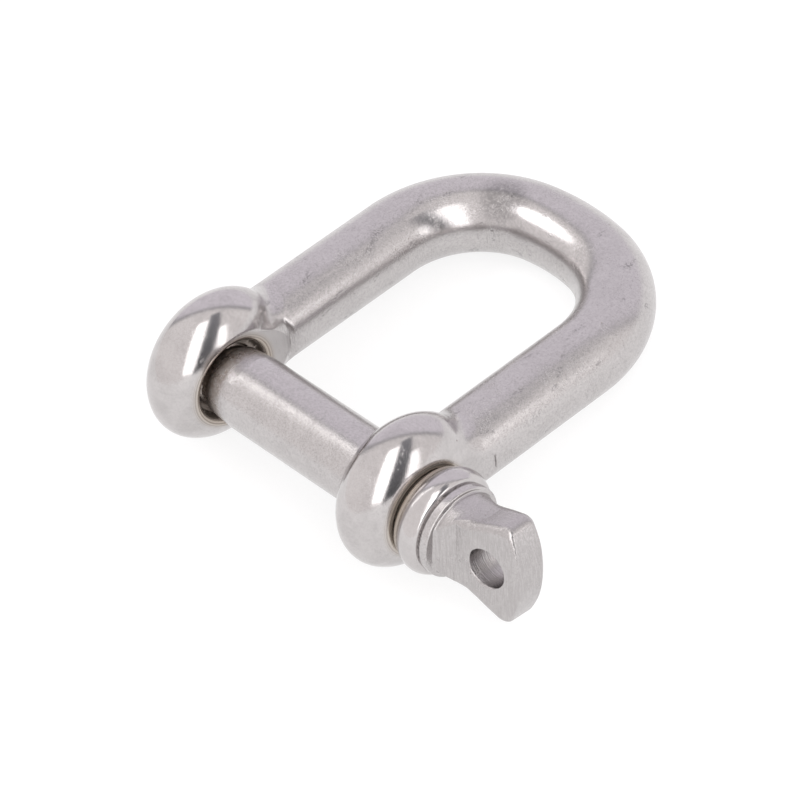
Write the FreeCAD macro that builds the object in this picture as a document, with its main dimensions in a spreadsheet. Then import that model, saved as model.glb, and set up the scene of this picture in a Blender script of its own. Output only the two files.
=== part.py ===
import FreeCAD, Part
import math
import operator
import os

import Sketcher

# Dee shackle with a screw pin, in millimetres and in its own frame: X along the pin towards its
# head, Y towards the crown, Z square to the bow's plane, and the origin on the pin's axis midway
# between the two eyes. The near eye (+X) has the plain hole and the far eye (-X) the thread.

SIZES = {
    # the bow, bent from round bar
    "bar_radius": 4.0,
    "leg_offset": 13.45,  # middle of the shackle to a leg's centreline
    "crown_reach": 36.5,  # pin axis to the crown's centreline
    "shoulder_radius": 11.65,  # centreline bend that joins a leg to the crown
    "shoulder_rise": 11.8,  # how far the crown stands above the straight legs
    # the eyes, forged as flattened balls
    "eye_offset": 13.5,
    "eye_lead": 0.5,  # the ball's centre lies this far towards the crown
    "eye_radius": 8.1,
    "eye_rim_curve": 2.8,
    "eye_cheek_curve": 7.3,
    "eye_half_width": 4.1,  # where the cheeks are squared off, outside the machined faces
    "eye_edge_radius": 3.1,
    "root_fillet": 1.6,
    "face_offset": 3.5,  # eye's middle plane to each machined face
    "inner_face_radius": 7.4,
    "outer_face_radius": 5.2,
    "trim_radius": 9.0,  # the outer cheek is turned to this radius, which steps into the leg
    "trim_rise": 0.2,  # how far the turned cheek flares out past the outer face
    "mouth_radius": 5.1,
    "mouth_depth": 0.5,
    "outer_mouth_radius": 4.7,  # of the plain hole, under the collar
    "near_hole_radius": 4.3,
    "counterbore_depth": 1.2,
    # the M8 x 1.25 thread, right-hand
    "thread_pitch": 1.25,
    "pin_crest_radius": 3.9,
    "pin_root_radius": 3.2,
    "eye_crest_radius": 3.42,
    "eye_root_radius": 4.08,
    "root_flat": 0.26,  # width of a groove's floor along the axis
    "groove_mouth": 1.08,  # width of a groove where it meets the air
    # the turned pin, stations along X from the threaded end to the head
    "point_end": -17.6,
    "point_radius": 3.05,
    "thread_end": -16.5,
    "thread_start": -11.3,
    "relief_end": -10.45,
    "relief_radius": 3.15,
    "bevel_end": -10.15,
    "bevel_radius": 3.75,
    "shank_end": -7.15,
    "shank_radius": 4.0,
    "collar_start": 17.45,
    "collar_face_radius": 5.0,
    "bead_start": 18.1,
    "bead_end": 20.65,
    "bead_end_radius": 5.1,
    "bead_curve": 1.75,
    "ring_gap": 0.12,
    "ring_end": 21.75,
    "ring_end_radius": 4.75,
    "neck_radius": 4.35,
    "neck_end": 25.3,
    "edge_break": 0.5,
    # the flat eye of the head
    "head_turn": -6.0,  # angle about X at which the tightened head stands
    "head_root": 23.5,
    "head_root_half": 3.55,
    "head_side_curve": 25.0,
    "head_corner": 29.4,
    "head_corner_half": 6.05,
    "head_corner_radius": 0.8,
    "head_end": 31.1,
    "facet_start_half": 3.7,
    "facet_end": 23.4,
    "facet_end_half": 2.45,
    "head_tip_half": 1.75,
    "head_edge_radius": 1.1,
    "head_hole_x": 27.1,
    "head_hole_radius": 2.1,
    "head_hole_break": 0.25,
}

TRIM = 3.0  # how far a cutting profile runs past the metal
THREAD_LIP = 0.05  # how far a thread's cutter runs into the air
TOUCH = 0.05  # two stations this close are the same one


class Size:
    """A number together with the sheet formula that gives it."""

    def __init__(self, value, formula):
        self.value = value
        self.formula = formula

    def __neg__(self):
        return 0 - self


def arithmetic(symbol, operate, swapped=False):
    """One arithmetic operator of Size, for a Size or a plain number on the other side."""

    def combine(this, other):
        if not isinstance(other, Size):
            other = Size(other, repr(other))
        left, right = (other, this) if swapped else (this, other)
        formula = f"({left.formula} {symbol} {right.formula})"
        return Size(operate(left.value, right.value), formula)

    return combine


Size.__add__ = arithmetic("+", operator.add)
Size.__radd__ = arithmetic("+", operator.add, swapped=True)
Size.__sub__ = arithmetic("-", operator.sub)
Size.__rsub__ = arithmetic("-", operator.sub, swapped=True)
Size.__mul__ = arithmetic("*", operator.mul)
Size.__rmul__ = arithmetic("*", operator.mul, swapped=True)
Size.__truediv__ = arithmetic("/", operator.truediv)


def size(name):
    return Size(SIZES[name], f"sizes.{name}")


def number(value):
    return value.value if isinstance(value, Size) else value


def bind(thing, name, value):
    """Set a property or named constraint from a Size, and tie it to the sheet."""
    thing.setExpression(name, value.formula)


def make_sheet(doc):
    sheet = doc.addObject("Spreadsheet::Sheet", "sizes")
    for row, (name, value) in enumerate(SIZES.items(), start=1):
        sheet.set(f"A{row}", name)
        sheet.set(f"B{row}", str(value))
        sheet.setAlias(f"B{row}", name)
    doc.recompute()
    return sheet


def plane_of(body, role):
    return next(item for item in body.Origin.OriginFeatures if item.Role == role)


def new_sketch(body, name, role):
    sketch = body.newObject("Sketcher::SketchObject", name)
    sketch.AttachmentSupport = (plane_of(body, role), [""])
    sketch.MapMode = "FlatFace"
    return sketch


def fix(sketch, kind, geometry, point, value):
    """Tie one coordinate of a sketch point, or an arc's radius, to the sheet."""
    if not isinstance(value, Size):
        value = Size(value, repr(value))
    place = (geometry,) if point is None else (geometry, point)
    index = sketch.addConstraint(Sketcher.Constraint(kind, *place, value.value))
    label = f"{kind}_{geometry}_{point}"
    sketch.renameConstraint(index, label)
    bind(sketch, f"Constraints.{label}", value)


def add_edge(sketch, start, end, radius):
    """Add a line, or an arc that bulges left of its travel (right for a negative radius)."""
    if radius == 0:
        geometry = sketch.addGeometry(Part.LineSegment(start, end), False)
        return geometry, 1, 2
    chord = end - start
    sagitta = abs(radius) - (radius**2 - (chord.Length / 2) ** 2) ** 0.5
    bulge = FreeCAD.Vector(-chord.y, chord.x, 0).normalize() * sagitta
    if radius < 0:
        bulge = -bulge
    geometry = sketch.addGeometry(Part.Arc(start, start + chord / 2 + bulge, end), False)
    forward = sketch.getPoint(geometry, 1).distanceToPoint(start) < sagitta
    return (geometry, 1, 2) if forward else (geometry, 2, 1)


def outline(sketch, corners):
    """Draw a closed profile through corners (u, v), or (u, v, radius) where an arc leads there."""
    points = [FreeCAD.Vector(number(corner[0]), number(corner[1]), 0) for corner in corners]
    edges = []
    for index, corner in enumerate(corners):
        radius = number(corner[2]) if len(corner) == 3 else 0
        edges.append(add_edge(sketch, points[index - 1], points[index], radius))
    for index, corner in enumerate(corners):
        geometry, _, last = edges[index]
        following, first, _ = edges[(index + 1) % len(edges)]
        sketch.addConstraint(Sketcher.Constraint("Coincident", geometry, last, following, first))
        fix(sketch, "DistanceX", geometry, last, corner[0])
        fix(sketch, "DistanceY", geometry, last, corner[1])
        if len(corner) == 3:
            radius = corner[2] if number(corner[2]) > 0 else -corner[2]
            fix(sketch, "Radius", geometry, None, radius)


def circle(sketch, centre_x, centre_y, radius):
    middle = FreeCAD.Vector(number(centre_x), number(centre_y), 0)
    normal = FreeCAD.Vector(0, 0, 1)
    geometry = sketch.addGeometry(Part.Circle(middle, normal, number(radius)), False)
    fix(sketch, "DistanceX", geometry, 3, centre_x)
    fix(sketch, "DistanceY", geometry, 3, centre_y)
    fix(sketch, "Radius", geometry, None, radius)


def revolved(body, kind, name, corners):
    """A Revolution or Groove of a profile drawn above the X axis, once round that axis."""
    sketch = new_sketch(body, f"{name}_profile", "XY_Plane")
    outline(sketch, corners)
    feature = body.newObject(kind, name)
    feature.Profile = sketch
    feature.ReferenceAxis = (sketch, ["H_Axis"])
    feature.Angle = 360
    return feature


def extruded(body, kind, name, sketch, length):
    """A Pad or Pocket that runs the same way to both sides of its sketch."""
    feature = body.newObject(kind, name)
    feature.Profile = sketch
    feature.SideType = "Symmetric"
    bind(feature, "Length", length)
    return feature


def thread_groove(body, name, first_groove, length, floor_radius, mouth_radius):
    """Cut a right-hand helical groove that advances along +X from its first groove's middle."""
    half_floor = size("root_flat") / 2
    half_mouth = size("groove_mouth") / 2
    sketch = new_sketch(body, f"{name}_profile", "XY_Plane")
    outline(sketch, [
        (first_groove - half_floor, floor_radius),
        (first_groove - half_mouth, mouth_radius),
        (first_groove + half_mouth, mouth_radius),
        (first_groove + half_floor, floor_radius),
    ])
    groove = body.newObject("PartDesign::SubtractiveHelix", name)
    groove.Profile = sketch
    groove.ReferenceAxis = (sketch, ["H_Axis"])
    groove.Mode = 0
    bind(groove, "Pitch", size("thread_pitch"))
    bind(groove, "Height", length)
    return groove


def make_bar(body):
    """The round bar, bent to two straight legs and a crown of three arcs."""
    path = new_sketch(body, "bar_path", "XY_Plane")
    leg = number(size("leg_offset"))
    reach = number(size("crown_reach"))
    bend = number(size("shoulder_radius"))
    straight = reach - number(size("shoulder_rise"))
    lean = math.radians(10)
    near_bend = FreeCAD.Vector(leg - bend, straight, 0)
    far_bend = FreeCAD.Vector(bend - leg, straight, 0)
    crown = FreeCAD.Vector(0, reach - 2 * bend, 0)
    axis = FreeCAD.Vector(0, 0, 1)
    path.addGeometry([
        Part.LineSegment(FreeCAD.Vector(leg, 0, 0), FreeCAD.Vector(leg, straight, 0)),
        Part.ArcOfCircle(Part.Circle(near_bend, axis, bend), 0, math.pi / 2 - lean),
        Part.ArcOfCircle(Part.Circle(crown, axis, 2 * bend), math.pi / 2 - lean, math.pi / 2 + lean),
        Part.ArcOfCircle(Part.Circle(far_bend, axis, bend), math.pi / 2 + lean, math.pi),
        Part.LineSegment(FreeCAD.Vector(-leg, straight, 0), FreeCAD.Vector(-leg, 0, 0)),
        Part.Point(FreeCAD.Vector(0, reach, 0)),
    ], False)
    near_leg, near_arc, crown_arc, far_arc, far_leg, top = range(6)
    path.toggleConstruction(top)
    y_axis = -2
    path.addConstraint([
        Sketcher.Constraint("Tangent", near_leg, 2, near_arc, 1),
        Sketcher.Constraint("Tangent", near_arc, 2, crown_arc, 1),
        Sketcher.Constraint("Tangent", crown_arc, 2, far_arc, 1),
        Sketcher.Constraint("Tangent", far_arc, 2, far_leg, 1),
        Sketcher.Constraint("Vertical", near_leg),
        Sketcher.Constraint("Symmetric", near_leg, 1, far_leg, 2, y_axis),
        Sketcher.Constraint("Symmetric", near_leg, 2, far_leg, 1, y_axis),
        Sketcher.Constraint("Equal", near_arc, far_arc),
        Sketcher.Constraint("PointOnObject", top, 1, y_axis),
        Sketcher.Constraint("PointOnObject", top, 1, crown_arc),
    ])
    fix(path, "DistanceX", near_leg, 1, size("leg_offset"))
    fix(path, "DistanceY", near_leg, 1, 0.0)
    fix(path, "DistanceY", near_leg, 2, size("crown_reach") - size("shoulder_rise"))
    fix(path, "Radius", near_arc, None, size("shoulder_radius"))
    fix(path, "DistanceY", top, 1, size("crown_reach"))
    section = new_sketch(body, "bar_section", "XZ_Plane")
    circle(section, size("leg_offset"), 0.0, size("bar_radius"))
    bar = body.newObject("PartDesign::AdditivePipe", "bar")
    bar.Profile = section
    bar.Spine = (path, [f"Edge{index}" for index in range(1, 6)])
    return bar


def make_eye(body, name, side):
    """One eye: a flattened ball, turned about a line that lies a little ahead of the pin."""
    sketch = new_sketch(body, f"{name}_profile", "XY_Plane")
    bind(sketch, "AttachmentOffset.Base.y", size("eye_lead"))
    middle = number(side * size("eye_offset"))
    half = number(size("eye_half_width"))
    edge = number(size("eye_edge_radius"))
    rim = number(size("eye_rim_curve"))
    cheek = number(size("eye_cheek_curve"))
    # The rim's arc and a cheek's arc touch where both have this direction from their centres.
    drop = number(size("eye_radius")) - rim - edge
    reach = math.hypot(half, drop)
    spare = cheek - rim
    turn = math.acos((cheek**2 - spare**2 - reach**2) / (2 * spare * reach))
    join = math.atan2(-drop, half) + turn
    rim_centre = FreeCAD.Vector(middle, edge + drop, 0)
    axis = FreeCAD.Vector(0, 0, 1)

    def cheek_arc(sign, start, end):
        shift = FreeCAD.Vector(-sign * spare * math.cos(join), -spare * math.sin(join), 0)
        return Part.ArcOfCircle(Part.Circle(rim_centre + shift, axis, cheek), start, end)

    corners = [
        FreeCAD.Vector(middle - half, 0, 0),
        FreeCAD.Vector(middle - half, edge, 0),
        FreeCAD.Vector(middle + half, edge, 0),
        FreeCAD.Vector(middle + half, 0, 0),
    ]
    foot = math.asin((edge - rim_centre.y + spare * math.sin(join)) / cheek)
    sketch.addGeometry([
        Part.LineSegment(corners[0], corners[1]),
        cheek_arc(-1, math.pi - join, math.pi - foot),
        Part.ArcOfCircle(Part.Circle(rim_centre, axis, rim), join, math.pi - join),
        cheek_arc(1, foot, join),
        Part.LineSegment(corners[2], corners[3]),
        Part.LineSegment(corners[3], corners[0]),
    ], False)
    left, left_cheek, crest, right_cheek, right, base = range(6)
    sketch.addConstraint([
        Sketcher.Constraint("Coincident", left, 2, left_cheek, 2),
        Sketcher.Constraint("Tangent", left_cheek, 1, crest, 2),
        Sketcher.Constraint("Tangent", crest, 1, right_cheek, 2),
        Sketcher.Constraint("Coincident", right_cheek, 1, right, 1),
        Sketcher.Constraint("Coincident", right, 2, base, 1),
        Sketcher.Constraint("Coincident", base, 2, left, 1),
        Sketcher.Constraint("Equal", left_cheek, right_cheek),
    ])
    for line, point, sign, height in (
        (left, 1, -1, 0.0),
        (left, 2, -1, size("eye_edge_radius")),
        (right, 1, 1, size("eye_edge_radius")),
        (right, 2, 1, 0.0),
    ):
        station = side * size("eye_offset") + sign * size("eye_half_width")
        fix(sketch, "DistanceX", line, point, station)
        fix(sketch, "DistanceY", line, point, height)
    fix(sketch, "DistanceX", crest, 3, side * size("eye_offset"))
    fix(sketch, "DistanceY", crest, 3, size("eye_radius") - size("eye_rim_curve"))
    fix(sketch, "Radius", crest, None, size("eye_rim_curve"))
    fix(sketch, "Radius", left_cheek, None, size("eye_cheek_curve"))
    eye = body.newObject("PartDesign::Revolution", name)
    eye.Profile = sketch
    eye.ReferenceAxis = (sketch, ["H_Axis"])
    eye.Angle = 360
    return eye


def named_edges(shape, wanted):
    """The sketcher-style names of the edges that the test accepts."""
    return [f"Edge{i}" for i, edge in enumerate(shape.Edges, start=1) if wanted(edge)]


def blend_roots(body, last):
    """Round the corner where each leg grows out of its eye."""
    limit = number(size("eye_radius") + size("eye_lead"))

    def is_root(edge):
        faces = last.Shape.ancestorsOfType(edge, Part.Face)
        kinds = {type(face.Surface).__name__ for face in faces}
        return kinds == {"Cylinder", "Toroid"} and edge.BoundBox.YMax < limit

    fillet = body.newObject("PartDesign::Fillet", "root_blend")
    fillet.Base = (last, named_edges(last.Shape, is_root))
    bind(fillet, "Radius", size("root_fillet"))
    return fillet


def eye_void(side, hole_radius, outer_mouth):
    """Half-section of what is cut from one eye: both faces, both mouths and the hole."""
    inner_face = size("eye_offset") - size("face_offset")
    outer_face = size("eye_offset") + size("face_offset")
    section = [
        (inner_face - TRIM / 2, 0.0),
        (inner_face - TRIM / 2, size("inner_face_radius")),
        (inner_face, size("inner_face_radius")),
        (inner_face, size("mouth_radius")),
        (inner_face + size("mouth_depth"), size("near_hole_radius")),
        (inner_face + size("counterbore_depth"), size("near_hole_radius")),
        (inner_face + size("counterbore_depth") + size("mouth_depth"), hole_radius),
        (outer_face - size("mouth_depth"), hole_radius),
        (outer_face, outer_mouth),
        (outer_face, size("outer_face_radius")),
        (outer_face + size("trim_rise"), size("trim_radius")),
        (outer_face + TRIM, size("trim_radius")),
        (outer_face + TRIM, 0.0),
    ]
    return [(side * station, radius) for station, radius in section]


def make_shackle_body(doc):
    body = doc.addObject("PartDesign::Body", "shackle_body")
    make_bar(body)
    make_eye(body, "near_eye", 1)
    last = make_eye(body, "far_eye", -1)
    doc.recompute()
    blend_roots(body, last)
    plain = eye_void(1, size("near_hole_radius"), size("outer_mouth_radius"))
    revolved(body, "PartDesign::Groove", "near_bore", plain)
    tapped = eye_void(-1, size("eye_crest_radius"), size("near_hole_radius"))
    revolved(body, "PartDesign::Groove", "far_bore", tapped)
    first = -(size("eye_offset") + size("face_offset") + size("thread_pitch"))
    length = size("face_offset") * 2 + size("thread_pitch") - size("counterbore_depth") / 2
    floor = size("eye_root_radius")
    mouth = size("eye_crest_radius") - THREAD_LIP
    body.Tip = thread_groove(body, "far_thread", first, length, floor, mouth)
    return body


def turned_profile():
    """Half-section of the pin as it leaves the lathe, from the thread to the neck of the head."""
    broken = size("edge_break")
    collar_lip = size("collar_start") + broken / 2
    return [
        (size("thread_end"), 0.0),
        (size("thread_end"), size("pin_crest_radius") - broken),
        (size("thread_end") + broken, size("pin_crest_radius")),
        (size("thread_start") - broken, size("pin_crest_radius")),
        (size("thread_start"), size("relief_radius")),
        (size("relief_end"), size("relief_radius")),
        (size("bevel_end"), size("bevel_radius")),
        (size("shank_end"), size("shank_radius")),
        (size("collar_start"), size("shank_radius")),
        (size("collar_start"), size("collar_face_radius") - broken / 2),
        (collar_lip, size("collar_face_radius")),
        (size("bead_start"), size("collar_face_radius")),
        (size("bead_end"), size("bead_end_radius"), size("bead_curve")),
        (size("bead_end"), size("neck_radius")),
        (size("bead_end") + size("ring_gap"), size("neck_radius")),
        (size("bead_end") + size("ring_gap"), size("bead_end_radius") - size("ring_gap")),
        (size("ring_end") - broken / 2, size("ring_end_radius")),
        (size("ring_end"), size("ring_end_radius") - broken / 2),
        (size("ring_end"), size("neck_radius")),
        (size("neck_end"), size("neck_radius")),
        (size("neck_end"), 0.0),
    ]


def add_paddle(body):
    """The head's flat eye, drawn square to its hole, with a flaring outline."""
    sketch = new_sketch(body, "paddle_outline", "XZ_Plane")
    rise = size("head_end") - size("head_corner")
    half = size("head_corner_half")
    end_curve = (rise * rise + half * half) / (rise * 2)
    outline(sketch, [
        (size("head_root"), -size("head_root_half")),
        (size("head_corner"), -half, -size("head_side_curve")),
        (size("head_corner"), half, -end_curve),
        (size("head_root"), size("head_root_half"), -size("head_side_curve")),
    ])
    return extruded(body, "PartDesign::Pad", "paddle", sketch, size("neck_radius") * 2)


def cut_cheeks(body):
    """Mill both cheeks: a steep facet down from the ring, then a slight taper to the tip."""
    sketch = new_sketch(body, "cheek_profile", "XY_Plane")
    far = size("head_end") + TRIM
    wide = size("neck_radius") + TRIM
    slope = (size("facet_end_half") - size("head_tip_half")) / (size("head_end") - size("facet_end"))
    far_half = size("head_tip_half") - slope * TRIM
    for side in (1, -1):
        outline(sketch, [
            (size("ring_end"), side * size("facet_start_half")),
            (size("facet_end"), side * size("facet_end_half")),
            (far, side * far_half),
            (far, side * wide),
            (size("ring_end"), side * wide),
        ])
    return extruded(body, "PartDesign::Pocket", "cheeks", sketch, wide * 2)


def round_paddle(body, last):
    """Round the paddle's long edges, then the two corners where they meet its end."""
    corner = number(size("head_corner"))
    root = number(size("facet_end"))

    def is_side(edge):
        box = edge.BoundBox
        return box.XMin > root and abs(box.XMax - corner) < TOUCH and box.YLength < 1

    def is_corner(edge):
        box = edge.BoundBox
        return box.XMin > corner - 1 and box.YLength > 1 and box.ZLength < 1

    for name, wanted, radius in (
        ("long_edges", is_side, "head_edge_radius"),
        ("corners", is_corner, "head_corner_radius"),
    ):
        fillet = body.newObject("PartDesign::Fillet", name)
        fillet.Base = (last, named_edges(last.Shape, wanted))
        bind(fillet, "Radius", size(radius))
        body.Document.recompute()
        last = fillet


def drill_paddle(body):
    sketch = new_sketch(body, "hole_centre", "XZ_Plane")
    circle(sketch, size("head_hole_x"), 0.0, size("head_hole_radius"))
    hole = extruded(body, "PartDesign::Pocket", "head_hole", sketch, size("neck_radius") * 2)
    body.Document.recompute()
    reach = number(size("head_hole_radius"))

    def is_rim(edge):
        box = edge.BoundBox
        return abs(box.ZMax - reach) < TOUCH and abs(box.ZMin + reach) < TOUCH

    rim = body.newObject("PartDesign::Chamfer", "hole_rim")
    rim.Base = (hole, named_edges(hole.Shape, is_rim))
    bind(rim, "Size", size("head_hole_break"))


def make_screw_pin(doc):
    body = doc.addObject("PartDesign::Body", "screw_pin")
    revolved(body, "PartDesign::Revolution", "turned_pin", turned_profile())
    add_paddle(body)
    last = cut_cheeks(body)
    doc.recompute()
    round_paddle(body, last)
    drill_paddle(body)
    # A crest of the pin faces a groove of the eye once the pin is turned to its rest angle.
    eye_first = -(size("eye_offset") + size("face_offset") + size("thread_pitch"))
    first = eye_first + size("thread_pitch") / 2 + size("thread_pitch") * size("head_turn") / 360
    length = size("relief_end") - first - size("root_flat") * 3
    floor = size("pin_root_radius")
    mouth = size("pin_crest_radius") + THREAD_LIP
    body.Tip = thread_groove(body, "pin_thread", first, length, floor, mouth)
    body.Placement.Rotation = FreeCAD.Rotation(FreeCAD.Vector(1, 0, 0), -1)
    bind(body, "Placement.Rotation.Angle", size("head_turn"))
    return body


def make_pin_point(doc):
    """The plain lead-in at the pin's threaded end."""
    body = doc.addObject("PartDesign::Body", "pin_point")
    body.Tip = revolved(body, "PartDesign::Revolution", "point", [
        (size("point_end"), 0.0),
        (size("point_end"), size("point_radius") - size("edge_break")),
        (size("point_end") + size("edge_break"), size("point_radius")),
        (size("thread_end"), size("point_radius")),
        (size("thread_end"), 0.0),
    ])
    return body


def check(doc, bodies):
    for item in doc.Objects:
        if "Invalid" in item.State or "Error" in item.State:
            raise RuntimeError(f"{item.Label} did not build: {item.State}")
    for body in bodies:
        if body.Shape.isNull() or not body.Shape.isValid() or len(body.Shape.Solids) != 1:
            raise RuntimeError(f"{body.Label} is not one valid solid")


def main():
    os.makedirs("parts", exist_ok=True)
    doc = FreeCAD.newDocument("shackle")
    make_sheet(doc)
    bodies = [make_shackle_body(doc), make_screw_pin(doc), make_pin_point(doc)]
    doc.recompute()
    check(doc, bodies)
    for body in bodies:
        body.Shape.exportStep(f"parts/{body.Label}.step")


main()
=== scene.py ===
import math

import bpy
import numpy as np
from mathutils import Matrix, Vector

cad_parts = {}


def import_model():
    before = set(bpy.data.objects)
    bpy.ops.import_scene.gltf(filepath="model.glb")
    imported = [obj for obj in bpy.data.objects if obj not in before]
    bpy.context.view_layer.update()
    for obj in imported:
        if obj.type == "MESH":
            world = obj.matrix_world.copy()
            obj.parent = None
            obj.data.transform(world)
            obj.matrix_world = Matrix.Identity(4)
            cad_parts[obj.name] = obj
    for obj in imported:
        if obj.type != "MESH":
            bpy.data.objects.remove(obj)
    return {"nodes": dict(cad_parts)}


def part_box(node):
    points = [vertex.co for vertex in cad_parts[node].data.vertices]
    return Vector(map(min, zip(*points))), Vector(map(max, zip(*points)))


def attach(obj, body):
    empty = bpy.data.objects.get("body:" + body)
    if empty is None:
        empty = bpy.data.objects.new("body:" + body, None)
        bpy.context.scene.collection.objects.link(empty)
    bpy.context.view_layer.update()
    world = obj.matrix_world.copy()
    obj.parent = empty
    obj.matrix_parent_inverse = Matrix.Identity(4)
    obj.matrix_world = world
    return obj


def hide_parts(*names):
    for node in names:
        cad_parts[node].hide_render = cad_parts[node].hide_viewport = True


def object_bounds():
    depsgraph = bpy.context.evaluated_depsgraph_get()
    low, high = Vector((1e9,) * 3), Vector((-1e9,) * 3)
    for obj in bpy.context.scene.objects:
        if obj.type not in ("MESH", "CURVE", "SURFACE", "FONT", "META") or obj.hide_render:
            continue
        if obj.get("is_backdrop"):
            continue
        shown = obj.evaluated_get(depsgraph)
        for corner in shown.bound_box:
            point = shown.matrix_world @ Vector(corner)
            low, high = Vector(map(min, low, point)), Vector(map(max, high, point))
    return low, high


# Dee shackle with a screw pin. Shapes are worked out in millimetres in the row frame: X along the
# pin towards its head, Y towards the crown, Z square to the bow, origin on the pin's axis.

MM = 0.001

# the bow
BAR = 4.0  # the bar's radius
LEG = 13.45  # X of a leg's middle line
REACH = 36.5  # Y of the crown's middle line
SHOULDER = 11.65  # radius of a shoulder bend's middle line
SHOULDER_RISE = 11.8
STRAIGHT = REACH - SHOULDER_RISE  # Y where the legs end and the shoulder bends begin
LEG_END_EDGE = 0.5
EYE = 13.5  # X of an eye's middle
EYE_LEAD = 0.5  # how far an eye's middle lies towards the crown
EYE_RADIUS = 8.1
EYE_HALF = 4.5  # half an eye's thickness before it is faced
ROOT_FILLET = 1.3  # where a leg joins its eye
INNER_FACE = 10.0
INNER_FACE_RADIUS = 7.4
OUTER_FACE = 17.0
OUTER_FACE_RADIUS = 5.2
TRIM_RADIUS = 9.0  # beyond its face, an eye's outer side flares by TRIM_RISE out to here
TRIM_RISE = 0.2
FACE_EDGE = 0.12
RIM_EDGE = 0.9  # a softer edge where the inner face meets the ball, from RIM_START outwards
RIM_START = 6.4
HOLE = 4.3
HOLE_EDGE = 0.3
MOUTH_FLARE = 0.4  # how much the holes widen at the inner faces, over MOUTH_DEPTH
MOUTH_DEPTH = 0.45
COUNTERBORE = 11.2  # its floor, measured along X as the faces are
COUNTERBORE_RUNOUT = 0.5
COUNTERSINK = 0.9
BORE_SCALE = 0.7  # a radial distance is too long on the thread's steep flanks

# the thread, M8 x 1.25
PITCH = 1.25
PIN_CREST = 3.9
PIN_ROOT = 3.2
EYE_CREST = 3.42
EYE_ROOT = 4.08
FLANK = math.tan(math.radians(60))  # change of radius for each millimetre along the axis
GROOVE_FLOOR = 0.13  # half the width of the flat at a groove's floor

# the pin, from its threaded end to its head
HEAD_TURN = math.radians(-6)  # the head's angle about X
THREAD_END = -16.5
THREAD_STOP = -10.9
SHANK = 4.0  # the shank's radius
SHAFT_STATIONS = [THREAD_END, -15.9, -11.8, -11.3, -10.45, -10.15, -7.15]
SHAFT_RADII = [3.3, PIN_CREST, PIN_CREST, 3.15, 3.15, 3.72, SHANK]
SHAFT_STOP = 20.0
SHAFT_SCALE = 0.8  # for the thread's flanks, as BORE_SCALE
TURNED_FILLET = 0.2  # in the corners from collar to ring to head
COLLAR = (17.45, 19.0)
COLLAR_RADIUS = 5.0
COLLAR_EDGE = 0.3
BEAD = 19.37
BEAD_ORBIT = 3.85  # the radius at which the bead's round section is centred
BEAD_RADIUS = 1.75
BEAD_END = 20.65
BEAD_EDGE = 0.15
BEAD_CORE = 19.25
BEAD_CORE_HALF = 1.4
RING = (20.77, 21.75)
RING_RADIUS = 4.85
RING_EDGE = 0.2
NECK_RADIUS = 4.35
NECK = 22.6
NECK_HALF = 2.7
NECK_FILLET = 0.6
HEAD_START = 21.0
PADDLE_START = 23.5
HEAD_END = 31.1
HEAD_END_HALF = 6.05  # to this distance from the axis, the arc at the end falls by HEAD_END_DROP
HEAD_END_DROP = 1.7
HEAD_SIDE_CURVE = 25.0  # radius of each side's arc, which is centred across the axis
HEAD_SIDE_X = 36.12
HEAD_SIDE_Z = 18.03
HEAD_CORNER = 1.0
FLAT_STATIONS = [20, 23.4, 32]
FLAT_HALVES = [2.76, 2.45, 1.67]  # half the head's thickness at each station
EDGE_STATIONS = [23.0, 24.6, 29.0, 30.6]
EDGE_RADII = [0.1, 1.1, 1.1, 0.4]
FACET = 21.75  # where the milled facets between neck and flats begin
FACET_HALF = 3.7
FACET_FALL = 0.757
FACET_SCALE = 0.797  # turns its distance along Y into one square to the facet
HEAD_HOLE_X = 27.1
HEAD_HOLE = 2.1
HEAD_HOLE_EDGE = 0.25

# mesh sizes
BOW_STEP = 0.22
PIN_STEP = 0.15
SETTLE_ROUNDS = 4
SETTLE_REACH = 0.01
NORMAL_REACH = 0.02  # wider, so that the normals smooth over sharp creases


# ---------------------------------------------------------------- shapes as distance fields


def round_join(a, b, radius):
    """Both shapes, with a concave fillet where they meet."""
    return np.maximum(radius, np.minimum(a, b)) - np.hypot(
        np.maximum(radius - a, 0), np.maximum(radius - b, 0)
    )


def round_cut(a, b, radius):
    """What both shapes share, with its convex edge rounded."""
    return np.minimum(-radius, np.maximum(a, b)) + np.hypot(
        np.maximum(a + radius, 0), np.maximum(b + radius, 0)
    )


def drum(x, r, start, end, radius, edge):
    """A round-edged disc on the pin's axis."""
    return round_cut(np.abs(x - (start + end) / 2) - (end - start) / 2, r - radius, edge)


def groove_distance(x, y, z, first):
    """How far along the axis the nearest groove's middle lies, for a right-hand thread."""
    advance = np.arctan2(z, y) / (2 * math.pi) * PITCH
    return np.abs((x - first - advance + PITCH / 2) % PITCH - PITCH / 2)


def bar_field(x, y, z):
    """The bent round bar: straight legs, two shoulder bends and a flatter crown."""
    side = np.abs(x)
    inset = LEG - SHOULDER
    lift = SHOULDER - SHOULDER_RISE
    crown = (SHOULDER**2 - inset**2 - SHOULDER_RISE**2) / (2 * lift)
    crown_y = REACH - crown
    lean = math.atan2(inset, STRAIGHT - crown_y)
    in_plane = np.where(
        y < STRAIGHT,
        side - LEG,
        np.where(
            np.arctan2(side, y - crown_y) < lean,
            np.hypot(side, y - crown_y) - crown,
            np.hypot(side - inset, y - STRAIGHT) - SHOULDER,
        ),
    )
    return np.hypot(in_plane, z) - BAR


def ball_field(side, y, z):
    """The flattened balls of both eyes, scaled to a true distance near the surface."""
    u = (side - EYE) / EYE_HALF
    v = np.hypot(y - EYE_LEAD, z) / EYE_RADIUS
    size = np.hypot(u, v)
    slope = np.hypot(u / EYE_HALF, v / EYE_RADIUS)
    return size * (size - 1) / np.maximum(slope, 1e-6)


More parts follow.
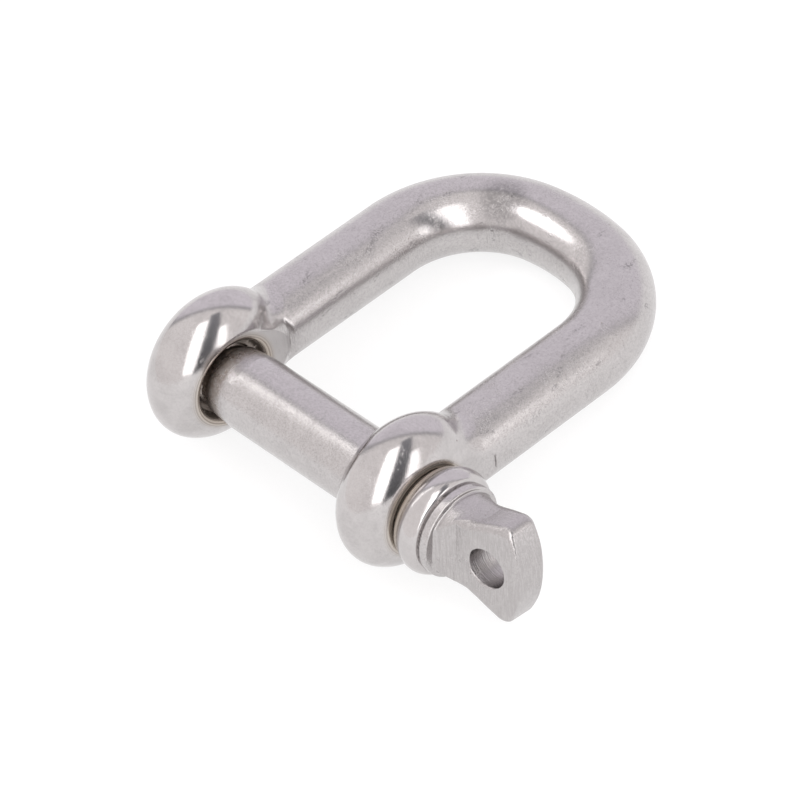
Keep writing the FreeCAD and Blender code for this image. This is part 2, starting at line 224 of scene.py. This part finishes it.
def bore_radius(x, y, z, side):
    """Radius of the holes: plain in the near eye, threaded and counterbored in the far one."""
    groove = groove_distance(x, y, z, -OUTER_FACE - PITCH)
    tapped = np.clip(EYE_ROOT - (groove - GROOVE_FLOOR) * FLANK, EYE_CREST, EYE_ROOT)
    lead_in = np.interp(x, [-OUTER_FACE, -OUTER_FACE + COUNTERSINK], [HOLE, EYE_CREST])
    widened = np.interp(x, [-COUNTERBORE - COUNTERBORE_RUNOUT, -COUNTERBORE], [0, HOLE])
    far = np.maximum(np.maximum(tapped, lead_in), widened)
    mouth = HOLE + np.interp(side, [INNER_FACE - 0.1, INNER_FACE + MOUTH_DEPTH], [MOUTH_FLARE, 0])
    return np.maximum(np.where(x > 0, HOLE, far), np.where(side < INNER_FACE + 1, mouth, 0))


def bow_field(x, y, z):
    """The shackle's body: bent bar and both eyes, trimmed, faced and bored."""
    side = np.abs(x)
    r = np.hypot(y, z)
    metal = round_join(
        round_cut(bar_field(x, y, z), -y, LEG_END_EDGE), ball_field(side, y, z), ROOT_FILLET
    )
    cheek = OUTER_FACE + np.interp(r, [OUTER_FACE_RADIUS, TRIM_RADIUS], [0, TRIM_RISE])
    outside = np.maximum(r - TRIM_RADIUS, cheek - side)
    inside = np.maximum(r - INNER_FACE_RADIUS, side - INNER_FACE)
    rim = np.interp(r, [RIM_START, INNER_FACE_RADIUS], [FACE_EDGE, RIM_EDGE])
    metal = round_cut(round_cut(metal, -outside, FACE_EDGE), -inside, rim)
    return round_cut(metal, (bore_radius(x, y, z, side) - r) * BORE_SCALE, HOLE_EDGE)


def shaft_field(x, y, z, r):
    """Thread, relief and shank, as far as the collar hides them."""
    first = -OUTER_FACE - PITCH / 2 + PITCH * math.degrees(HEAD_TURN) / 360
    groove = groove_distance(x, y, z, first)
    threaded = np.clip(PIN_ROOT + (groove - GROOVE_FLOOR) * FLANK, PIN_ROOT, PIN_CREST)
    plain = np.interp(x, SHAFT_STATIONS, SHAFT_RADII)
    radius = np.where(x < THREAD_STOP, np.minimum(plain, threaded), plain)
    shaft = np.maximum((r - radius) * SHAFT_SCALE, THREAD_END - x)
    return np.maximum(shaft, x - SHAFT_STOP)


def collar_field(x, r):
    """The collar's flat bearing face and, behind it, its rounded bead."""
    bead = np.hypot(x - BEAD, r - BEAD_ORBIT) - BEAD_RADIUS
    bead = round_cut(bead, x - BEAD_END, BEAD_EDGE)
    core = np.maximum(np.abs(x - BEAD_CORE) - BEAD_CORE_HALF, r - COLLAR_RADIUS)
    bead = np.where(r < BEAD_ORBIT, core, bead)
    return round_join(bead, drum(x, r, *COLLAR, COLLAR_RADIUS, COLLAR_EDGE), BEAD_EDGE)


def head_outline(x, z, r):
    """Neck and paddle, still as thick as the neck."""
    neck = np.maximum(np.abs(x - NECK) - NECK_HALF, r - NECK_RADIUS)
    side = np.hypot(x - HEAD_SIDE_X, np.abs(z) + HEAD_SIDE_Z) - HEAD_SIDE_CURVE
    end_radius = (HEAD_END_HALF**2 + HEAD_END_DROP**2) / (2 * HEAD_END_DROP)
    end = np.hypot(x - HEAD_END + end_radius, z) - end_radius
    paddle = np.maximum(round_cut(side, end, HEAD_CORNER), PADDLE_START - x)
    return round_join(neck, paddle, NECK_FILLET)


def head_field(x, y, z, r):
    """The drilled flat head, thinning towards its end, with facets up to the round neck."""
    facet = (np.abs(y) - FACET_HALF + (x - FACET) * FACET_FALL) * FACET_SCALE
    flat = np.abs(y) - np.interp(x, FLAT_STATIONS, FLAT_HALVES)
    edge = np.interp(x, EDGE_STATIONS, EDGE_RADII)
    head = round_cut(head_outline(x, z, r), np.minimum(facet, flat), edge)
    head = round_cut(head, HEAD_HOLE - np.hypot(x - HEAD_HOLE_X, z), HEAD_HOLE_EDGE)
    return np.maximum(head, HEAD_START - x)


def pin_field(x, y, z):
    """The whole pin but its point, worked out in axes that turn with its head."""
    y, z = (
        y * math.cos(HEAD_TURN) + z * math.sin(HEAD_TURN),
        z * math.cos(HEAD_TURN) - y * math.sin(HEAD_TURN),
    )
    r = np.hypot(y, z)
    turned = np.minimum(shaft_field(x, y, z, r), collar_field(x, r))
    turned = round_join(turned, drum(x, r, *RING, RING_RADIUS, RING_EDGE), TURNED_FILLET)
    return round_join(turned, head_field(x, y, z, r), TURNED_FILLET)


# ---------------------------------------------------------------- meshes from fields


def slope_of(field, points, reach):
    """The field's gradient at each point, by central differences."""
    columns = []
    for axis in range(3):
        shift = np.zeros(3)
        shift[axis] = reach
        ahead, behind = points + shift, points - shift
        columns.append((field(*ahead.T) - field(*behind.T)) / (2 * reach))
    return np.stack(columns, axis=1)


def crossed_cells(values):
    """For each grid edge that the surface crosses: the four cells around it, and the crossing."""
    pace = np.array([values.shape[1] * values.shape[2], values.shape[2], 1])
    ways = np.eye(3, dtype=int)
    cells, crossings = [], []
    for axis in range(3):
        along, first, second = ways[axis], ways[(axis + 1) % 3], ways[(axis + 2) % 3]
        near = values[tuple(slice(0, n - s) for n, s in zip(values.shape, along))]
        far = values[tuple(slice(s, n) for n, s in zip(values.shape, along))]
        spot = np.argwhere((near < 0) != (far < 0))
        start, end = near[tuple(spot.T)], far[tuple(spot.T)]
        crossing = spot + np.outer(start / (start - end), along)
        around = np.stack([spot - first - second, spot - second, spot, spot - first], axis=1)
        around[start > 0] = around[start > 0][:, ::-1]
        cells.append(around @ pace)
        crossings.append(np.repeat(crossing[:, None], 4, axis=1))
    return np.concatenate(cells), np.concatenate(crossings)


def settle(field, points, step):
    """Moves the points onto the surface, never by more than half a cell at a time."""
    for _ in range(SETTLE_ROUNDS):
        slope = slope_of(field, points, SETTLE_REACH)
        steep = np.maximum((slope**2).sum(1), 0.05)
        move = slope * (field(*points.T) / steep)[:, None]
        length = np.linalg.norm(move, axis=1, keepdims=True)
        points = points - move * np.minimum(1, 0.5 * step / np.maximum(length, 1e-9))
    return points


def polygonize(field, low, high, step):
    """A quad mesh of the field's zero surface: one vertex for each grid cell that it crosses."""
    axes = [np.arange(a - 2 * step, b + 3 * step, step) for a, b in zip(low, high)]
    slabs = [field(*np.meshgrid([x], axes[1], axes[2], indexing="ij")) for x in axes[0]]
    cells, crossings = crossed_cells(np.concatenate(slabs))
    _, quads = np.unique(cells, return_inverse=True)
    quads = quads.reshape(cells.shape)
    corner = quads.ravel()
    count = np.bincount(corner)
    middles = [np.bincount(corner, crossings[..., k].ravel()) / count for k in range(3)]
    points = np.stack(middles, axis=1) * step + [a[0] for a in axes]
    points = settle(field, points, step)
    slope = slope_of(field, points, NORMAL_REACH)
    return points, quads, slope / np.linalg.norm(slope, axis=1, keepdims=True)


def build(name, field, node, step, material, body, *nodes):
    """The piece that stands in for the nodes, with its normals taken from the field."""
    low, high = (np.array(corner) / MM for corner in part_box(node))
    points, quads, normals = polygonize(field, low, high, step)
    mesh = bpy.data.meshes.new(name)
    mesh.from_pydata((points * MM).tolist(), [], quads.tolist())
    mesh.polygons.foreach_set("use_smooth", [True] * len(mesh.polygons))
    mesh.normals_split_custom_set_from_vertices(normals.tolist())
    piece = bpy.data.objects.new(name, mesh)
    bpy.context.scene.collection.objects.link(piece)
    piece.data.materials.append(material)
    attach(piece, body)
    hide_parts(*nodes)
    return piece


# ---------------------------------------------------------------- shader nodes


class Nodes:
    """A small helper that adds shader nodes and joins them."""

    def __init__(self, tree):
        self.tree = tree
        tree.nodes.clear()

    def join(self, socket, value):
        if isinstance(value, bpy.types.NodeSocket):
            self.tree.links.new(value, socket)
        else:
            socket.default_value = value

    def add(self, kind, settings=(), **inputs):
        """A node with its inputs given by name, or by place as i0, i1 and so on."""
        node = self.tree.nodes.new(kind)
        for key, value in dict(settings).items():
            setattr(node, key, value)
        for key, value in inputs.items():
            spot = int(key[1:]) if key[1:].isdigit() else key.replace("_", " ")
            self.join(node.inputs[spot], value)
        return node

    def math(self, operation, a, b=0.0):
        return self.add("ShaderNodeMath", {"operation": operation}, i0=a, i1=b).outputs[0]

    def plus(self, first, *others):
        for other in others:
            first = self.math("ADD", first, other)
        return first

    def times(self, first, *others):
        for other in others:
            first = self.math("MULTIPLY", first, other)
        return first

    def most(self, a, b):
        return self.math("MAXIMUM", a, b)

    def hypot(self, a, b):
        return self.math("SQRT", self.plus(self.times(a, a), self.times(b, b)))

    def vector(self, operation, a, b):
        settings = {"operation": operation}
        return self.add("ShaderNodeVectorMath", settings, i0=a, i1=b).outputs["Value"]

    def range(self, value, start, end, low=0.0, high=1.0):
        """A smooth step from low, where the value is at start, to high, where it is at end."""
        smooth = {"interpolation_type": "SMOOTHSTEP"}
        return self.add(
            "ShaderNodeMapRange", smooth, i0=value, i1=start, i2=end, i3=low, i4=high
        ).outputs[0]

    def band(self, value, start, end, blur):
        """1 between start and end, 0 outside."""
        rise = self.range(value, start - blur, start + blur)
        return self.times(rise, self.range(value, end - blur, end + blur, 1.0, 0.0))

    def noise(self, vector, scale, detail=2.0, roughness=0.5):
        return self.add(
            "ShaderNodeTexNoise", Vector=vector, Scale=scale, Detail=detail, Roughness=roughness
        ).outputs[0]

    def lines(self, value, scale, detail=3.0):
        """Noise that varies only with one value, for turning marks."""
        flat = {"noise_dimensions": "1D"}
        return self.add(
            "ShaderNodeTexNoise", flat, W=value, Scale=scale, Detail=detail
        ).outputs[0]

    def stretched(self, place, turn, squeeze, scale, detail=2.0):
        """Noise drawn out along one direction, for brushing and scratches."""
        turned = self.add("ShaderNodeMapping", Vector=place, Rotation=turn, Scale=squeeze)
        return self.noise(turned.outputs[0], scale, detail)

    def scratches(self, place, turn, scale):
        """Thin lines where a drawn-out noise crosses its middle value."""
        drawn = self.stretched(place, turn, (1.0, 1.0, 0.04), scale, 1.0)
        off = self.math("ABSOLUTE", self.math("SUBTRACT", drawn, 0.5))
        line = self.range(off, 0.004, 0.014, 1.0, 0.0)
        return self.times(line, self.range(self.noise(place, 260.0), 0.52, 0.66))

    def pits(self, place, scale, size=0.05):
        """Small dents, in some cells of a Voronoi pattern only."""
        cells = self.add("ShaderNodeTexVoronoi", Vector=place, Scale=scale).outputs
        tint = self.add("ShaderNodeSeparateColor", Color=cells["Color"]).outputs[0]
        wavy = self.plus(cells["Distance"], self.times(self.noise(place, scale * 4), 0.05))
        dent = self.range(wavy, size, size * 1.8, 1.0, 0.0)
        return self.times(dent, self.range(tint, 0.62, 0.64))

    def speckle(self, place):
        """Fine mottling, as shot blasting and tumbling leave it."""
        return self.range(self.noise(place, 3200.0, 4.0, 0.75), 0.36, 0.7)

    def scars(self, place):
        """Sparse rough marks, broken up by a finer grain."""
        drawn = self.stretched(place, (0, 0, 0.1), (1.0, 0.45, 1.0), 760.0, 4.0)
        broken = self.range(self.noise(place, 5200.0), 0.42, 0.56)
        return self.times(self.range(drawn, 0.60, 0.70), broken)

    def mix(self, factor, a, b):
        node = self.add("ShaderNodeMix", {"data_type": "RGBA"})
        for socket, value in ((node.inputs[0], factor), (node.inputs[6], a), (node.inputs[7], b)):
            self.join(socket, value)
        return node.outputs[2]


def start_material(name):
    """A new material, with the piece's own coordinates in metres."""
    material = bpy.data.materials.new(name)
    material.use_nodes = True
    nodes = Nodes(material.node_tree)
    place = nodes.add("ShaderNodeTexCoord").outputs["Object"]
    axes = nodes.add("ShaderNodeSeparateXYZ", Vector=place).outputs
    return material, nodes, place, (axes[0], axes[1], axes[2])


def finish_metal(nodes, colour, roughness, metallic, height, depth):
    """Ends a metal's nodes. The relief is the height times the depth."""
    bump = nodes.add("ShaderNodeBump", Strength=1.0, Distance=depth, Height=height)
    shader = nodes.add(
        "ShaderNodeBsdfPrincipled",
        Base_Color=colour,
        Metallic=metallic,
        Roughness=roughness,
        Normal=bump.outputs[0],
    )
    nodes.add("ShaderNodeOutputMaterial", Surface=shader.outputs[0])


# ---------------------------------------------------------------- steel


BRIGHT = (0.560, 0.536, 0.534, 1)
DULL = (0.425, 0.405, 0.403, 1)
DARK = (0.170, 0.163, 0.165, 1)
STAIN = (0.330, 0.285, 0.255, 1)
GOLDEN = (0.500, 0.440, 0.370, 1)
RUST = (0.250, 0.200, 0.160, 1)
# centre of the painted dark reflection inside the crown
DARK_REFLECTION_SPOT = (-6.1 * MM, 33.5 * MM, 3.6 * MM)


def brown_rings(nodes, value):
    """Rusty and golden rings, for the gap at the collar."""
    return nodes.mix(nodes.range(nodes.lines(value, 7000.0), 0.42, 0.58), RUST, GOLDEN)


def painted_dark_reflection(nodes, place):
    """A painted dark reflection: a dark mottled patch inside the crown that stands in for the
    dark gap between the window reflections.
    """
    near = nodes.range(nodes.vector("DISTANCE", place, DARK_REFLECTION_SPOT), 3.4 * MM, 1.2 * MM)
    mottle = nodes.noise(place, 2600.0, 4.0, 0.7)
    return nodes.times(near, nodes.range(mottle, 0.35, 0.6, 0.45, 1.0))


def bow_polish(nodes, x, y, z, radius):
    """1 on the eyes, 0.4 on the crown's inner side and 0 on the tumbled bar."""
    eyes = nodes.times(
        nodes.range(radius, 7.6 * MM, 9.2 * MM, 1.0, 0.0),
        nodes.range(y, 4.5 * MM, 8 * MM, 1.0, 0.3),
    )
    bend = nodes.hypot(x, nodes.plus(y, -STRAIGHT * MM))
    inner_bend = nodes.times(
        nodes.range(bend, 11.0 * MM, 13.2 * MM, 1.0, 0.0),
        nodes.range(y, 28 * MM, 31 * MM),
        nodes.range(z, 0, 2 * MM),
    )
    return nodes.most(eyes, nodes.times(inner_bend, 0.4))


def bow_zones(nodes, x, y, z):
    """Where the bow is polished, faced and bored, from 0 to 1, and the radius from the axis."""
    radius = nodes.hypot(y, z)
    face = nodes.times(
        nodes.range(nodes.math("ABSOLUTE", x), 10.06 * MM, 10.03 * MM),
        nodes.range(radius, 7.42 * MM, 7.36 * MM),
    )
    return {
        "radius": radius,
        "polish": bow_polish(nodes, x, y, z, radius),
        "face": face,
        "mouth": nodes.range(radius, 5.6 * MM, 4.6 * MM),
        "bore": nodes.range(radius, 4.6 * MM, 4.35 * MM),
    }


def bow_wear(nodes, place, polish):
    """The marks on the bow. Polishing took most of the scars away."""
    return {
        "grain": nodes.noise(place, 7500.0, detail=3.0, roughness=0.65),
        "patches": nodes.noise(place, 420.0, detail=4.0, roughness=0.6),
        "pits": nodes.pits(place, 620.0),
        "scars": nodes.times(nodes.scars(place), nodes.range(polish, 0, 1, 1.0, 0.15)),
        "scratches": nodes.most(
            nodes.scratches(place, (0.3, 1.1, 0.4), 2600.0),
            nodes.scratches(place, (1.3, 0.2, 1.9), 2200.0),
        ),
    }


def bow_roughness(nodes, zone, wear):
    """Smooth where polished, rougher on turned faces, scratches and dull patches."""
    return nodes.plus(
        nodes.range(zone["polish"], 0, 1, 0.23, 0.13),
        nodes.times(nodes.plus(wear["patches"], -0.5), 0.14),
        nodes.times(wear["scratches"], 0.12),
        nodes.times(zone["face"], 0.26),
        nodes.times(zone["bore"], 0.2),
    )


def bow_height(nodes, place, zone, wear):
    """Grain everywhere, turning marks on the inner faces, and dents where there is wear."""
    coarse = nodes.range(zone["polish"], 0, 1, 0.42, 0.16)
    return nodes.plus(
        nodes.times(wear["grain"], coarse),
        nodes.times(nodes.noise(place, 1500.0, 2.0), coarse),
        nodes.times(nodes.lines(zone["radius"], 9000.0), zone["face"], 0.5),
        nodes.times(wear["pits"], -1.0),
        nodes.times(wear["scars"], -0.6),
        nodes.times(wear["scratches"], nodes.range(zone["polish"], 0, 1, -0.5, -0.15)),
    )


def bow_colour(nodes, place, zone, wear):
    """Bright steel, first dulled and specked, then marked and given a painted dark reflection
    inside the crown, then stained in the holes.
    """
    polish = zone["polish"]
    haze = nodes.range(wear["patches"], 0.38, 0.66)
    haze = nodes.times(haze, nodes.range(polish, 0, 1, 0.15, 0.4))
    speckle = nodes.times(nodes.speckle(place), nodes.range(polish, 0, 1, 0.55, 0.28))
    colour = nodes.mix(nodes.plus(speckle, haze), BRIGHT, DULL)
    specks = nodes.range(wear["grain"], 0.5, 0.66)
    specks = nodes.times(specks, nodes.range(polish, 0, 1, 0.3, 0.08))
    colour = nodes.mix(specks, colour, DARK)
    colour = nodes.mix(nodes.times(zone["face"], 0.6), colour, DULL)
    colour = nodes.mix(nodes.times(wear["scratches"], 0.35), colour, DULL)
    # real scars, plus the painted dark reflection inside the crown
    dark = nodes.plus(nodes.times(painted_dark_reflection(nodes, place), 0.6), nodes.times(wear["scars"], 0.5))
    colour = nodes.mix(dark, colour, DARK)
    rings = brown_rings(nodes, zone["radius"])
    colour = nodes.mix(nodes.times(zone["mouth"], 0.8), colour, rings)
    colour = nodes.mix(nodes.times(zone["bore"], 0.8), colour, STAIN)
    return nodes.mix(nodes.times(wear["pits"], 0.75), colour, STAIN)


def bow_material():
    """Tumbled bar, polished eyes, turned inner faces and a stained thread."""
    material, nodes, place, (x, y, z) = start_material("bow_steel")
    zone = bow_zones(nodes, x, y, z)
    wear = bow_wear(nodes, place, zone["polish"])
    near_mouth = nodes.times(zone["mouth"], nodes.range(x, 0, 1 * MM))
    metallic = nodes.plus(1.0, nodes.times(nodes.most(near_mouth, zone["bore"]), -0.4))
    colour = bow_colour(nodes, place, zone, wear)
    roughness = bow_roughness(nodes, zone, wear)
    height = bow_height(nodes, place, zone, wear)
    finish_metal(nodes, colour, roughness, metallic, height, 0.022 * MM)
    return material


def pin_zones(nodes, x, y, z):
    """Where each part of the pin lies, from 0 to 1."""
    upright = nodes.plus(
        nodes.times(z, math.cos(HEAD_TURN)), nodes.times(y, -math.sin(HEAD_TURN))
    )
    from_hole = nodes.hypot(nodes.plus(x, -HEAD_HOLE_X * MM), upright)
    before_collar = nodes.range(x, 18.5 * MM, 17.7 * MM)
    return {
        "thread": nodes.range(x, -10.2 * MM, -10.5 * MM),
        "bevel": nodes.band(x, -10.4 * MM, -8.3 * MM, 0.3 * MM),
        "gap": nodes.times(before_collar, nodes.range(x, 15.6 * MM, 16.4 * MM)),
        "collar": nodes.band(x, 18.2 * MM, 20.7 * MM, 0.1 * MM),
        "head": nodes.range(x, 21.7 * MM, 21.9 * MM),
        "drilled": nodes.range(from_hole, 2.3 * MM, 2.15 * MM),
    }


def pin_wear(nodes, place):
    """The marks on the pin, with the head's brushing."""
    return {
        "grain": nodes.noise(place, 8000.0, detail=3.0, roughness=0.65),
        "patches": nodes.noise(place, 500.0, detail=4.0, roughness=0.6),
        "brushing": nodes.stretched(place, (0, 0, 0), (1.0, 1.0, 0.05), 6500.0, 3.0),
        "pits": nodes.pits(place, 700.0),
        "scratches": nodes.scratches(place, (0.5, 0.9, 0.1), 2600.0),
    }


def pin_roughness(nodes, zone, wear):
    """Smoothest on the collar, roughest on the thread and the bevel beside it."""
    return nodes.plus(
        0.16,
        nodes.times(zone["collar"], -0.04),
        nodes.times(zone["head"], 0.08),
        nodes.times(zone["bevel"], 0.12),
        nodes.times(zone["thread"], 0.12),
        nodes.times(nodes.plus(wear["patches"], -0.5), 0.18),
        nodes.times(wear["scratches"], 0.10),
    )


def pin_height(nodes, x, y, zone, wear):
    """Turning marks, brushing on the head's flats, and boring marks in its hole."""
    coarse = nodes.plus(
        0.6, nodes.times(zone["collar"], -0.42), nodes.times(zone["bevel"], 0.9)
    )
    flat = nodes.times(zone["head"], nodes.plus(1.0, nodes.times(zone["drilled"], -1.0)))
    return nodes.plus(
        nodes.times(wear["grain"], coarse),
        nodes.times(nodes.lines(x, 14000.0), 0.25),
        nodes.times(wear["brushing"], flat, 0.9),
        nodes.times(nodes.lines(y, 6000.0), zone["drilled"], 1.8),
        nodes.times(wear["pits"], -0.9),
        nodes.times(wear["scratches"], -0.5),
    )


def pin_colour(nodes, place, x, zone, wear):
    """Bright steel, dulled and specked, with a stained thread and brown rings in the gap."""
    haze = nodes.times(nodes.range(wear["patches"], 0.3, 0.7), 0.25)
    speckle = nodes.plus(0.5, nodes.times(zone["collar"], -0.3))
    speckle = nodes.times(nodes.speckle(place), speckle)
    colour = nodes.mix(nodes.plus(speckle, haze), BRIGHT, DULL)
    specks = nodes.range(wear["grain"], 0.5, 0.66)
    specks = nodes.times(specks, nodes.plus(0.26, nodes.times(zone["collar"], -0.2)))
    colour = nodes.mix(specks, colour, DARK)
    brushed = nodes.range(wear["brushing"], 0.4, 0.6, 0.3, 0.8)
    colour = nodes.mix(nodes.times(zone["head"], brushed), colour, DULL)
    colour = nodes.mix(nodes.times(zone["gap"], 0.9), colour, brown_rings(nodes, x))
    rust = nodes.range(nodes.noise(place, 2400.0, 4.0), 0.62, 0.4, 0.2, 0.85)
    rust = nodes.times(zone["bevel"], rust)
    colour = nodes.mix(nodes.times(nodes.most(rust, zone["thread"]), 0.85), colour, STAIN)
    return nodes.mix(nodes.times(wear["pits"], 0.7), colour, STAIN)


def pin_material():
    """Turned shank with a stained thread and bevel, polished collar and a brushed flat head."""
    material, nodes, place, (x, y, z) = start_material("pin_steel")
    zone = pin_zones(nodes, x, y, z)
    wear = pin_wear(nodes, place)
    metallic = nodes.plus(1.0, nodes.times(zone["gap"], -0.35))
    colour = pin_colour(nodes, place, x, zone, wear)
    roughness = pin_roughness(nodes, zone, wear)
    height = pin_height(nodes, x, y, zone, wear)
    finish_metal(nodes, colour, roughness, metallic, height, 0.02 * MM)
    return material


# ---------------------------------------------------------------- studio, in metres


CAMERA_AZIMUTH, CAMERA_ELEVATION, CAMERA_ROLL = 50.17, 43.16, -6.13
CAMERA_DISTANCE = 0.49935
CAMERA_LENS = 230.9  # in millimetres, as the sensor
CAMERA_SENSOR = 36
AIM_SHIFT = Vector((-2.545, -7.637, 0)) * MM  # from the middle of the part's box
CROWN_SPOT = Vector((-0.8, 34.2, 3.3)) * MM  # the steel that the crown's small lamp faces

TENT_WARM = (1.09, 1.055, 1.05, 1)
WALL_LILAC = (0.975, 0.935, 1.0, 1)
WALL_EDGE = (0.36, 0.36, 0.38, 1)
WALL_WAY = (-0.506, 0.807, 0.306)

FLOOR_SIZE = 3.0
FLOOR_GAP = 0.02  # in millimetres, below the eyes
FLOOR_GREY = (0.28, 0.28, 0.28, 1)
FLOOR_GLOW = 0.76


def unit(azimuth, elevation):
    """A direction as seen from the shackle: azimuth 0 is -Y and 90 is +X."""
    a, e = math.radians(azimuth), math.radians(elevation)
    return Vector((math.sin(a) * math.cos(e), -math.cos(a) * math.cos(e), math.sin(e)))


def camera_axes():
    """Right, up and back, with the camera's roll."""
    back = unit(CAMERA_AZIMUTH, CAMERA_ELEVATION)
    level = Vector((-back.y, back.x, 0)).normalized()
    rise = back.cross(level)
    roll = math.radians(CAMERA_ROLL)
    right = level * math.cos(roll) + rise * math.sin(roll)
    return right, rise * math.cos(roll) - level * math.sin(roll), back


def make_camera(aim):
    """The picture's camera, as fitted to its outline."""
    right, up, back = camera_axes()
    data = bpy.data.cameras.new("camera")
    data.lens = CAMERA_LENS
    data.sensor_width = CAMERA_SENSOR
    data.clip_start = 0.01
    camera = bpy.data.objects.new("camera", data)
    bpy.context.scene.collection.objects.link(camera)
    turn = Matrix((right, up, back)).transposed().to_4x4()
    camera.matrix_world = Matrix.Translation(aim + back * CAMERA_DISTANCE) @ turn
    bpy.context.scene.camera = camera


def stand(thing, spot, azimuth, elevation, distance, tilt=0.0):
    """Stand a lamp or card off from a spot, facing it. Angles are from the line of sight."""
    right, up, back = camera_axes()
    a, e = math.radians(azimuth), math.radians(elevation)
    away = right * math.sin(a) * math.cos(e) + back * math.cos(a) * math.cos(e) + up * math.sin(e)
    side = up.cross(away).normalized()
    turn = Matrix((side, away.cross(side), away)).transposed().to_4x4()
    spin = Matrix.Rotation(math.radians(tilt), 4, "Z")
    bpy.context.scene.collection.objects.link(thing)
    thing.matrix_world = Matrix.Translation(spot + away * distance) @ turn @ spin


def softbox(name, width, height, radiance, spread=180):
    """A rectangular lamp, as bright as its radiance says whatever its size."""
    data = bpy.data.lights.new(name, "AREA")
    data.shape = "RECTANGLE"
    data.size, data.size_y = width, height
    data.energy = radiance * math.pi * width * height
    data.spread = math.radians(spread)
    return bpy.data.objects.new(name, data)


def rectangle(name, width, height):
    """A flat piece across its own Z."""
    x, y = width / 2, height / 2
    mesh = bpy.data.meshes.new(name)
    mesh.from_pydata([(-x, -y, 0), (x, -y, 0), (x, y, 0), (-x, y, 0)], [], [(0, 1, 2, 3)])
    return bpy.data.objects.new(name, mesh)


def dark_card(name, width, height, low, high):
    """A card that only reflections see, darker at its foot, for the gaps between the windows."""
    material, nodes, _, (_, rise, _) = start_material(name)
    shade = nodes.range(rise, -height / 2, height / 2, low, high)
    bluish = nodes.times(shade, 1.07)
    grey = nodes.add("ShaderNodeCombineColor", Red=shade, Green=shade, Blue=bluish).outputs[0]
    glow = nodes.add("ShaderNodeEmission", Color=grey)
    nodes.add("ShaderNodeOutputMaterial", Surface=glow.outputs[0])
    card = rectangle(name, width, height)
    card.data.materials.append(material)
    card.visible_camera = False
    card.visible_diffuse = False
    card.visible_shadow = False
    card.visible_transmission = False
    card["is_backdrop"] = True
    return card


def make_lights(aim, pin):
    """Two windows with a dark bar between, a small lamp for the crown and a strip for the pin."""
    near = softbox("near_window", width=0.104, height=0.380, radiance=1.8)
    stand(near, aim, azimuth=13, elevation=-5, distance=0.25)
    right = softbox("right_window", width=0.056, height=0.220, radiance=1.45)
    stand(right, aim, azimuth=56, elevation=-12, distance=0.25, tilt=12)
    bar = dark_card("window_bar", width=0.092, height=0.50, low=0.08, high=0.34)
    stand(bar, aim, azimuth=36, elevation=-5, distance=0.235)
    crown = softbox("crown_window", width=0.028, height=0.030, radiance=0.22, spread=30)
    stand(crown, CROWN_SPOT, azimuth=-59, elevation=28, distance=0.06)
    strip = softbox("pin_strip", width=0.23, height=0.018, radiance=1.7)
    stand(strip, Vector((0, 0, 0)), azimuth=-62, elevation=47, distance=0.2, tilt=41)
    only_pin = bpy.data.collections.new("only_pin")
    only_pin.objects.link(pin)
    strip.light_linking.receiver_collection = only_pin


def make_world():
    """A white tent: warm all round, with a lilac back wall that has a grey edge."""
    world = bpy.data.worlds.new("tent")
    bpy.context.scene.world = world
    world.use_nodes = True
    nodes = Nodes(world.node_tree)
    look = nodes.add("ShaderNodeTexCoord").outputs["Generated"]
    facing = nodes.vector("DOT_PRODUCT", look, WALL_WAY)
    colour = nodes.mix(nodes.range(facing, 0.56, 0.64), TENT_WARM, WALL_LILAC)
    edge = nodes.times(nodes.range(facing, 0.48, 0.58), nodes.range(facing, 0.67, 0.58))
    colour = nodes.mix(nodes.times(edge, 0.75), colour, WALL_EDGE)
    background = nodes.add("ShaderNodeBackground", Color=colour, Strength=1.0)
    nodes.add("ShaderNodeOutputWorld", Surface=background.outputs[0])


def floor_material():
    """Matt and glowing, so that the ground reads as white with only a faint shadow."""
    material, nodes, place, _ = start_material("floor")
    roughness = nodes.range(nodes.noise(place, 60.0), 0.3, 0.7, 0.75, 0.85)
    shader = nodes.add(
        "ShaderNodeBsdfPrincipled",
        Base_Color=FLOOR_GREY,
        Roughness=roughness,
        Emission_Color=(1, 1, 1, 1),
        Emission_Strength=FLOOR_GLOW,
    )
    nodes.add("ShaderNodeOutputMaterial", Surface=shader.outputs[0])
    return material


def make_floor():
    """The shackle lies on both eyes and on the crown, so the floor leans against its own Z."""
    floor = rectangle("floor", FLOOR_SIZE, FLOOR_SIZE)
    bpy.context.scene.collection.objects.link(floor)
    under_eyes = Matrix.Translation(Vector((0, EYE_LEAD, -EYE_RADIUS - FLOOR_GAP)) * MM)
    lean = math.atan2(EYE_RADIUS - BAR, REACH - EYE_LEAD)
    floor.matrix_world = under_eyes @ Matrix.Rotation(lean, 4, "X")
    floor.data.materials.append(floor_material())
    floor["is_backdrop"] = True


# ---------------------------------------------------------------- the whole scene


def make_pieces(frame):
    """The bow and the pin drawn again, and the CAD's pin_point in the pin's steel."""
    coarse = 1.0
    bow_steel = bow_material()
    bow = build(
        "bow", bow_field, "shackle_body", BOW_STEP * coarse, bow_steel, "bow", "shackle_body"
    )
    pin_steel = pin_material()
    pin = build("pin", pin_field, "screw_pin", PIN_STEP * coarse, pin_steel, "pin", "screw_pin")
    point = frame["nodes"]["pin_point"]
    point.data.materials.clear()
    point.data.materials.append(pin_steel)
    return pin


def main():
    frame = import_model()
    low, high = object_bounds()
    aim = (low + high) / 2 + AIM_SHIFT
    pin = make_pieces(frame)
    make_floor()
    make_world()
    make_camera(aim)
    make_lights(aim, pin)
    bpy.context.scene.view_settings.view_transform = "Standard"
    low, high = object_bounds()


main()
